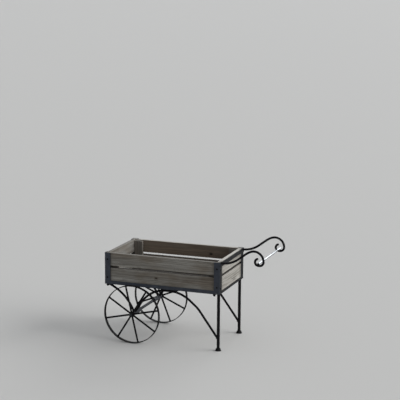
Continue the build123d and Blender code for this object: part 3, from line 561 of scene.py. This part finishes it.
    # Faces dished by drying, with ridges where the hard grain stands
    log_now = add(tree, "GeometryNodeInputNamedAttribute", {"Name": "log"}, data_type="FLOAT_VECTOR")
    ridge_scale = add(tree, "ShaderNodeVectorMath", {0: log_now, 1: per_millimetre(RIDGE_SIZE)}, operation="MULTIPLY")
    ridges = add(tree, "ShaderNodeTexNoise", {"Vector": ridge_scale, "Scale": 1.0, "Detail": 2.0})
    dish_scale = add(tree, "ShaderNodeVectorMath", {0: log_now, 1: per_millimetre(DISH_SIZE)}, operation="MULTIPLY")
    dishes = add(tree, "ShaderNodeTexNoise", {"Vector": dish_scale, "Scale": 1.0, "Detail": 1.0})
    ridges = add(tree, "ShaderNodeMath", {0: ridges, 1: -RIDGE_DEPTH}, operation="MULTIPLY")
    sink = add(tree, "ShaderNodeMath", {0: dishes, 1: -DISH_DEPTH, 2: ridges}, operation="MULTIPLY_ADD")
    inwards = add(tree, "ShaderNodeVectorMath", {
        0: add(tree, "GeometryNodeInputNormal"), "Scale": sink}, operation="SCALE")
    block = add(tree, "GeometryNodeSetPosition", {0: block, "Offset": inwards})
    block = add(tree, "GeometryNodeTransform", {0: block, "Translation": given["Centre"], "Rotation": given["Turn"]})
    return end_tree(tree, block, wood)


def make_boards(wood):
    """The box's planks, posts and floor slats, each standing for its node."""
    tree = board_tree(wood)
    chance = Random(LOG_SEED)
    ways = {"X": Vector((1, 0, 0)), "Y": Vector((0, 1, 0)), "Z": Vector((0, 0, 1))}
    boards = []
    # The handle end's outer face gets painted light and the insides painted shade through these outside values
    for row in ("lower", "upper"):
        boards += [(f"{side}_{row}_plank", "XZY", SIDE_INSIDE * across) for side, across in SIDES.items()]
        boards += [(f"handle_end_{row}_plank", "YZX", PAINTED_LIGHT_FULL), (f"wheel_end_{row}_plank", "YZX", END_INSIDE)]
    boards += [(f"{side}_{end}_post", "ZXY", 0.0) for side in SIDES for end in ENDS]
    boards += [(f"floor_slat_{number + 1}", "XYZ", OPEN_AIR) for number in range(FLOOR_SLATS)]
    for node, axes, outside in boards:
        low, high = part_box(node)
        along, across, through = (ways[axis] for axis in axes)
        if along.cross(across).dot(through) < 0:
            through = -through
        turn = Matrix((along, across, through)).transposed()
        size = Vector([abs((high - low).dot(way)) for way in (along, across, through)])
        steps = (BOARD_CELL_ALONG, BOARD_CELL_ACROSS, BOARD_CELL_THROUGH)
        inner_cells = [max(BOARD_FEWEST_CELLS, round(length / step)) for length, step in zip(size, steps)]
        pith = chance.choice((-1, 1)) * chance.uniform(PITH_NEAR, PITH_FAR)
        log_place = (chance.uniform(0, LOG_STRETCH), chance.uniform(-PITH_SIDEWAYS, PITH_SIDEWAYS), pith)
        board = grow(f"{node}_board", tree, {
            "Size": size, "Cells": [float(count + 2 * BOARD_EDGE_CELLS) for count in inner_cells],
            "Edge round": BOARD_EDGE_ROUND,
            "Centre": (low + high) / 2, "Turn": turn.to_euler(), "Log place": LOG_PLACES.get(node, log_place),
            "Outside": outside, "Shelter and shade": POST_SHELTER_AND_SHADE if node.endswith("post") else 0.0,
            "Edge light": EDGE_PAINTED_LIGHT.get(node, 0.0)})
        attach(board, "cart")
        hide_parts(node)


def screw_tree(iron):
    """Pan-head wood screws with a plain cross recess, one on each point, facing the way the point says."""
    tree, given = start_tree("cross recess screws", {
        "Geometry": "NodeSocketGeometry", "Head radius": "NodeSocketFloat", "Head height": "NodeSocketFloat",
        "Recess": "NodeSocketVector", "Seed": "NodeSocketInt"})
    head = add(tree, "GeometryNodeMeshCylinder", {
        "Vertices": 32, "Side Segments": 2, "Fill Segments": 6, "Radius": given["Head radius"], "Depth": 1.0})
    place = add(tree, "GeometryNodeInputPosition")
    parts = add(tree, "ShaderNodeSeparateXYZ", {0: place}).node.outputs
    flat = add(tree, "ShaderNodeCombineXYZ", {0: parts[0], 1: parts[1]})
    share = add(tree, "ShaderNodeVectorMath", {0: flat}, out="Value", operation="LENGTH")
    share = add(tree, "ShaderNodeMath", {0: share, 1: given["Head radius"]}, operation="DIVIDE")
    share = add(tree, "ShaderNodeMath", {0: share, 1: SCREW_CROWN_POWER}, operation="POWER")
    crown = add(tree, "ShaderNodeMath", {0: share, 1: -SCREW_CROWN_DROP, 2: 1.0}, operation="MULTIPLY_ADD")
    upright = add(tree, "ShaderNodeMath", {0: parts[2], 1: 0.5}, operation="ADD")
    crown = add(tree, "ShaderNodeMath", {0: crown, 1: upright}, operation="MULTIPLY")
    crown = add(tree, "ShaderNodeMath", {0: crown, 1: given["Head height"]}, operation="MULTIPLY")
    domed = add(tree, "ShaderNodeCombineXYZ", {0: parts[0], 1: parts[1], 2: crown})
    head = add(tree, "GeometryNodeSetPosition", {0: head, "Position": domed})
    recess = add(tree, "ShaderNodeSeparateXYZ", {0: given["Recess"]}).node.outputs
    top = add(tree, "ShaderNodeCombineXYZ", {2: given["Head height"]})
    deep = add(tree, "ShaderNodeMath", {0: recess[2], 1: 2.0}, operation="MULTIPLY")
    cutters = []
    for long_way, short_way in ((0, 1), (1, 0)):
        bar_size = add(tree, "ShaderNodeCombineXYZ", {0: recess[long_way], 1: recess[short_way], 2: deep})
        bar = add(tree, "GeometryNodeMeshCube", {"Size": bar_size})
        cutters.append(add(tree, "GeometryNodeTransform", {0: bar, "Translation": top}))
    cross = add(tree, "GeometryNodeMeshBoolean", {1: cutters[0]}, operation="UNION", solver="EXACT").node
    tree.links.new(cutters[1], cross.inputs[1])
    head = add(tree, "GeometryNodeMeshBoolean", {
        0: head, 1: cross.outputs[0]}, operation="DIFFERENCE", solver="EXACT")
    facing = add(tree, "GeometryNodeInputNamedAttribute", {"Name": "facing"}, data_type="FLOAT_VECTOR")
    aim = add(tree, "FunctionNodeAlignRotationToVector", {"Vector": facing}, axis="Z")
    spin = add(tree, "FunctionNodeRandomValue", {2: 0.0, 3: pi, "Seed": given["Seed"]}, out=1, data_type="FLOAT")
    spin = add(tree, "ShaderNodeCombineXYZ", {2: spin})
    aim = add(tree, "FunctionNodeRotateRotation", {0: aim, 1: spin}, rotation_space="LOCAL")
    points = add(tree, "GeometryNodeMeshToPoints", {0: given["Geometry"]})
    screws = add(tree, "GeometryNodeInstanceOnPoints", {0: points, "Instance": head, "Rotation": aim})
    return end_tree(tree, screws, iron)


def make_screws(iron):
    """Two screws on each face of each corner angle."""
    places, facings = [], []
    for side, across in SIDES.items():
        plank_low, plank_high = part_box(f"{side}_upper_plank")
        for end, along in ENDS.items():
            low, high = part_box(f"{side}_{end}_corner_angle")
            middle = (low + high) / 2
            outer_x = high.x if along > 0 else low.x
            outer_y = high.y if across > 0 else low.y
            for z in (high.z - UPPER_SCREW_DROP, low.z + LOWER_SCREW_RISE):
                places.append((middle.x, outer_y, z))
                facings.append((0, across, 0))
                places.append((outer_x, (plank_low.y + plank_high.y) / 2, z - END_SCREW_DROP))
                facings.append((along, 0, 0))
    mesh = bpy.data.meshes.new("screw places")
    mesh.from_pydata(places, [], [])
    attribute = mesh.attributes.new("facing", "FLOAT_VECTOR", "POINT")
    for item, facing in zip(attribute.data, facings):
        item.vector = facing
    screws = grow("corner_angle_screws", screw_tree(iron), {
        "Head radius": SCREW_HEAD_RADIUS, "Head height": SCREW_HEAD_HEIGHT,
        "Recess": (SCREW_RECESS_LENGTH, SCREW_RECESS_WIDTH, SCREW_RECESS_DEPTH), "Seed": SCREW_SEED}, mesh)
    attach(screws, "cart")
    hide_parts("corner_screws")


def weld_tree(iron):
    """Weld beads laid as overlapping drops along seam lines."""
    tree, given = start_tree("weld beads", {
        "Geometry": "NodeSocketGeometry", "Pitch": "NodeSocketFloat", "Drop radius": "NodeSocketFloat",
        "Seed": "NodeSocketInt"})
    seams = add(tree, "GeometryNodeMeshToCurve", {0: given["Geometry"]})
    points = add(tree, "GeometryNodeCurveToPoints", {0: seams, "Length": given["Pitch"]}, mode="LENGTH")
    drop = add(tree, "GeometryNodeMeshIcoSphere", {"Radius": given["Drop radius"], "Subdivisions": 2})
    scale = add(tree, "FunctionNodeRandomValue", {
        0: (SMALLEST_BEAD,) * 3, 1: (LARGEST_BEAD,) * 3, "Seed": given["Seed"]}, data_type="FLOAT_VECTOR")
    beads = add(tree, "GeometryNodeInstanceOnPoints", {0: points, "Instance": drop, "Scale": scale})
    return end_tree(tree, beads, iron)


class Seams:
    """Seam lines gathered as the edges of one mesh."""

    def __init__(self):
        self.points = []
        self.edges = []

    def run(self, start, end):
        first = len(self.points)
        self.points += [start, end]
        self.edges.append((first, first + 1))

    def ring(self, centre, axis, radius):
        first = len(self.points)
        turn = Vector(axis).to_track_quat("Z", "Y")
        for number in range(RING_POINTS):
            angle = 2 * pi * number / RING_POINTS
            self.points.append(centre + turn @ Vector((radius * cos(angle), radius * sin(angle), 0)))
            self.edges.append((first + number, first + (number + 1) % RING_POINTS))

    def mesh(self):
        mesh = bpy.data.meshes.new("seams")
        mesh.from_pydata(self.points, self.edges, [])
        return mesh


def bar_end(node, near, radius):
    """The middle of a bar's end by a point, and the way the bar leaves it."""
    spots = [vertex.co for vertex in frame["nodes"][node].data.vertices]
    nearest = min((spot - near).length for spot in spots)
    end = [spot for spot in spots if (spot - near).length < nearest + 2 * radius]
    further = [spot for spot in spots if (spot - near).length >= nearest + 3 * radius]
    next_ring = min((spot - near).length for spot in further)
    beyond = [spot for spot in further if (spot - near).length < next_ring + 2 * radius]
    middle = sum(end, Vector()) / len(end)
    return middle, (sum(beyond, Vector()) / len(beyond) - middle).normalized()


def cart_seams():
    """Where the cart's bars, rails, bosses and strap are welded to each other."""
    seams = Seams()
    strap_low, strap_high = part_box("handle_strap")
    grip_low, grip_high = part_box("grip_tube")
    for side, across in SIDES.items():
        rail_low, rail_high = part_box(f"{side}_side_rail")
        leg_low, leg_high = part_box(f"{side}_leg")
        leg_middle = (leg_low + leg_high) / 2
        leg_radius = (leg_high.x - leg_low.x) / 2
        bar_y = leg_middle.y
        seams.ring(Vector((leg_middle.x, bar_y, leg_high.z)), (0, 0, 1), leg_radius)

        # Front brace and arch brace at the axle boss, and their other ends
        boss_low, boss_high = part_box(f"{side}_axle_boss")
        axle_spot = (boss_low + boss_high) / 2
        axle_spot.y = bar_y
        brace_low, brace_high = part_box(f"{side}_front_brace")
        brace_radius = (brace_high.y - brace_low.y) / 2
        for brace in ("arch_brace", "front_brace"):
            middle, way = bar_end(f"{side}_{brace}", axle_spot, brace_radius)
            seams.ring(middle, way, brace_radius)
        arch_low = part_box(f"{side}_arch_brace")[0]
        arch_foot = Vector((leg_middle.x, bar_y, arch_low.z))
        middle, way = bar_end(f"{side}_arch_brace", arch_foot, brace_radius)
        seams.ring(middle, way, brace_radius)
        for aside in (-1, 1):
            seat_y = bar_y + aside * brace_radius * BRACE_SEAT_SHARE
            start = Vector((brace_low.x + brace_radius, seat_y, rail_low.z - BEAD_RADIUS))
            seams.run(start, start + Vector((BRACE_SEAT_LENGTH, 0, 0)))

        # Both long sides of the two lugs, at the rail and at the arch
        lugs_low, lugs_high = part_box(f"{side}_arch_lugs")
        for x in (lugs_low.x, lugs_high.x - LUG_LENGTH):
            for y in (lugs_low.y, lugs_high.y):
                for z in (lugs_high.z - BEAD_RADIUS / 2, lugs_low.z):
                    seams.run(Vector((x, y, z)), Vector((x + LUG_LENGTH, y, z)))

        # Handle bar on the strap, and the grip in the scroll
        handle_low, handle_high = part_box(f"{side}_handle")
        handle_middle = Vector((handle_low.x, bar_y, handle_low.z + HANDLE_RADIUS))
        seams.ring(handle_middle, (1, 0, 0), HANDLE_RADIUS)
        scroll_y = (handle_high.y if across > 0 else handle_low.y) - across * HANDLE_RADIUS
        seat = Vector(((grip_low.x + grip_high.x) / 2, scroll_y, grip_low.z))
        seams.ring(seat, (0, 0, 1), GRIP_WELD_RADIUS)

        # Rails and bearer under the floor
        shelf_y = rail_high.y if across < 0 else rail_low.y
        for node in ("wheel_end_rail", "handle_end_rail", "floor_bearer"):
            low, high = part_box(node)
            seams.run(Vector((low.x, shelf_y, low.z)), Vector((high.x, shelf_y, low.z)))
        for z in (strap_low.z, strap_high.z):
            strap_end = strap_high.y if across > 0 else strap_low.y
            inner_end = strap_end - across * STRAP_WELD_LENGTH
            seams.run(Vector((strap_low.x, strap_end, z)), Vector((strap_low.x, inner_end, z)))
    return seams


def wheel_seams(side):
    """Where a wheel's spokes are welded to its hub and rim."""
    seams = Seams()
    hub_low, hub_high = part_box(f"{side}_wheel_hub")
    spokes_low, spokes_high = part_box(f"{side}_wheel_spokes")
    spoke_radius = (spokes_high.y - spokes_low.y) / 2
    centre = (hub_low + hub_high) / 2
    corners = [vertex.co - centre for vertex in frame["nodes"][f"{side}_wheel_spokes"].data.vertices]
    angles = [SPOKES * atan2(corner.z, corner.x) for corner in corners]
    turn = atan2(sum(sin(a) for a in angles), sum(cos(a) for a in angles)) / SPOKES
    hub_radius = (hub_high.x - hub_low.x) / 2
    rim_reach = max(corner.length for corner in corners)
    for number in range(SPOKES):
        angle = turn + 2 * pi * number / SPOKES
        outwards = Vector((cos(angle), 0, sin(angle)))
        for reach in (hub_radius, rim_reach - BEAD_RADIUS / 2):
            seams.ring(centre + outwards * reach, outwards, spoke_radius)
    return seams


def make_welds(iron):
    """One piece of weld beads for each body."""
    tree = weld_tree(iron)
    bodies = {"cart": cart_seams(), "left_wheel": wheel_seams("left"), "right_wheel": wheel_seams("right")}
    for seed, (body, seams) in enumerate(bodies.items()):
        welds = grow(f"{body}_welds", tree, {
            "Pitch": BEAD_PITCH, "Drop radius": BEAD_RADIUS, "Seed": seed}, seams.mesh())
        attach(welds, body)


def seen_directly(tree):
    """1 for rays from the camera, a reflection or a clear part, which see the backdrop as pale."""
    path = add(tree, "ShaderNodeLightPath").node.outputs
    seen = add(tree, "ShaderNodeMath", {0: path["Is Camera Ray"], 1: path["Is Glossy Ray"]}, operation="MAXIMUM")
    return add(tree, "ShaderNodeMath", {0: seen, 1: path["Is Transmission Ray"]}, operation="MAXIMUM")


def make_floor():
    """A plain pale floor that bounces less light than it shows."""
    mesh = bpy.data.meshes.new("floor")
    corners = [(-1, -1), (1, -1), (1, 1), (-1, 1)]
    mesh.from_pydata([(FLOOR_REACH * x, FLOOR_REACH * y, 0.0) for x, y in corners], [], [(0, 1, 2, 3)])
    floor = bpy.data.objects.new("floor", mesh)
    bpy.context.scene.collection.objects.link(floor)
    material, tree, shader = start_material("pale floor", 0.9)
    pale = add(tree, "ShaderNodeMix", {
        0: seen_directly(tree), 6: colour("8F8A82"), 7: colour("CBCAC7")}, out=2, data_type="RGBA")
    tree.links.new(pale, shader.inputs["Base Color"])
    mesh.materials.append(material)


def make_light():
    """An even fill from the world and two wide lamps."""
    world = bpy.data.worlds.new("studio")
    bpy.context.scene.world = world
    world.use_nodes = True
    tree = world.node_tree
    strength = add(tree, "ShaderNodeMix", {0: seen_directly(tree), 2: FILL_STRENGTH, 3: BACKDROP_STRENGTH})
    background = tree.nodes["Background"]
    background.inputs["Color"].default_value = colour("F0F4FA")
    tree.links.new(strength, background.inputs["Strength"])
    lamps = {"key": (KEY_TOWARDS, KEY_STRENGTH, KEY_ANGLE), "back": (BACK_TOWARDS, BACK_STRENGTH, BACK_ANGLE)}
    for name, (towards, strength, angle) in lamps.items():
        lamp = bpy.data.lights.new(name, "SUN")
        lamp.energy = strength
        lamp.angle = angle
        lamp_object = bpy.data.objects.new(name, lamp)
        lamp_object.rotation_euler = towards.to_track_quat("Z", "Y").to_euler()
        bpy.context.scene.collection.objects.link(lamp_object)


def make_camera():
    """The photograph's camera."""
    backwards = Vector((
        sin(CAMERA_AZIMUTH) * cos(CAMERA_ELEVATION), -cos(CAMERA_AZIMUTH) * cos(CAMERA_ELEVATION),
        sin(CAMERA_ELEVATION)))
    level = Vector((0, 0, 1)).cross(backwards).normalized()
    upwards = backwards.cross(level)
    right = level * cos(CAMERA_ROLL) + upwards * sin(CAMERA_ROLL)
    upwards = upwards * cos(CAMERA_ROLL) - level * sin(CAMERA_ROLL)
    lens = bpy.data.cameras.new("camera")
    lens.sensor_width = SENSOR_WIDTH
    lens.lens = SENSOR_WIDTH * FOCAL_PIXELS / FRAME_PIXELS
    lens.clip_end = CLIP_END
    camera = bpy.data.objects.new("camera", lens)
    place = Matrix((right, upwards, backwards)).transposed().to_4x4()
    place.translation = CAMERA_TARGET + backwards * CAMERA_DISTANCE
    camera.matrix_world = place
    bpy.context.scene.collection.objects.link(camera)
    bpy.context.scene.camera = camera


# Bars and flats are one powder coat; the flat iron gets a paler, bluer painted sheen on its long faces than the bars
black_bar = powder_coated_iron("black powder coated bar", "0B0B0C", "151518", 0.08, 0.05)
flat_iron = powder_coated_iron("black powder coated flat iron", "0B0D0F", "4B5059", 0.12, 0.06)
finishes = {
    "weathered_wood": weathered_fir(),
    "black_iron": black_bar,
    "grey_iron": powder_coated_iron("grey powder coated iron", "22262D", "2E333C", 0.25, 0.08),
    "zinc_steel": zinc_plate(),
    "polished_steel": polished_steel(),
    "black_plastic": moulded_black("moulded black nylon", "0A0A0B", "131315", 0.55, 0.5 * MM),
    "black_rubber": moulded_black("moulded black rubber", "09090A", "111112", 0.75, 0.8 * MM),
}
for part in frame["record"]["subparts"]:
    for slot in frame["nodes"][part["node"]].material_slots:
        flat = part["node"].endswith(("_rail", "_angle", "_strap", "_bearer"))
        slot.material = flat_iron if flat else finishes[part["material_slot"]]

make_boards(finishes["weathered_wood"])
make_screws(black_bar)
make_welds(black_bar)
make_floor()
make_light()
make_camera()
bpy.context.scene.view_settings.view_transform = "Standard"
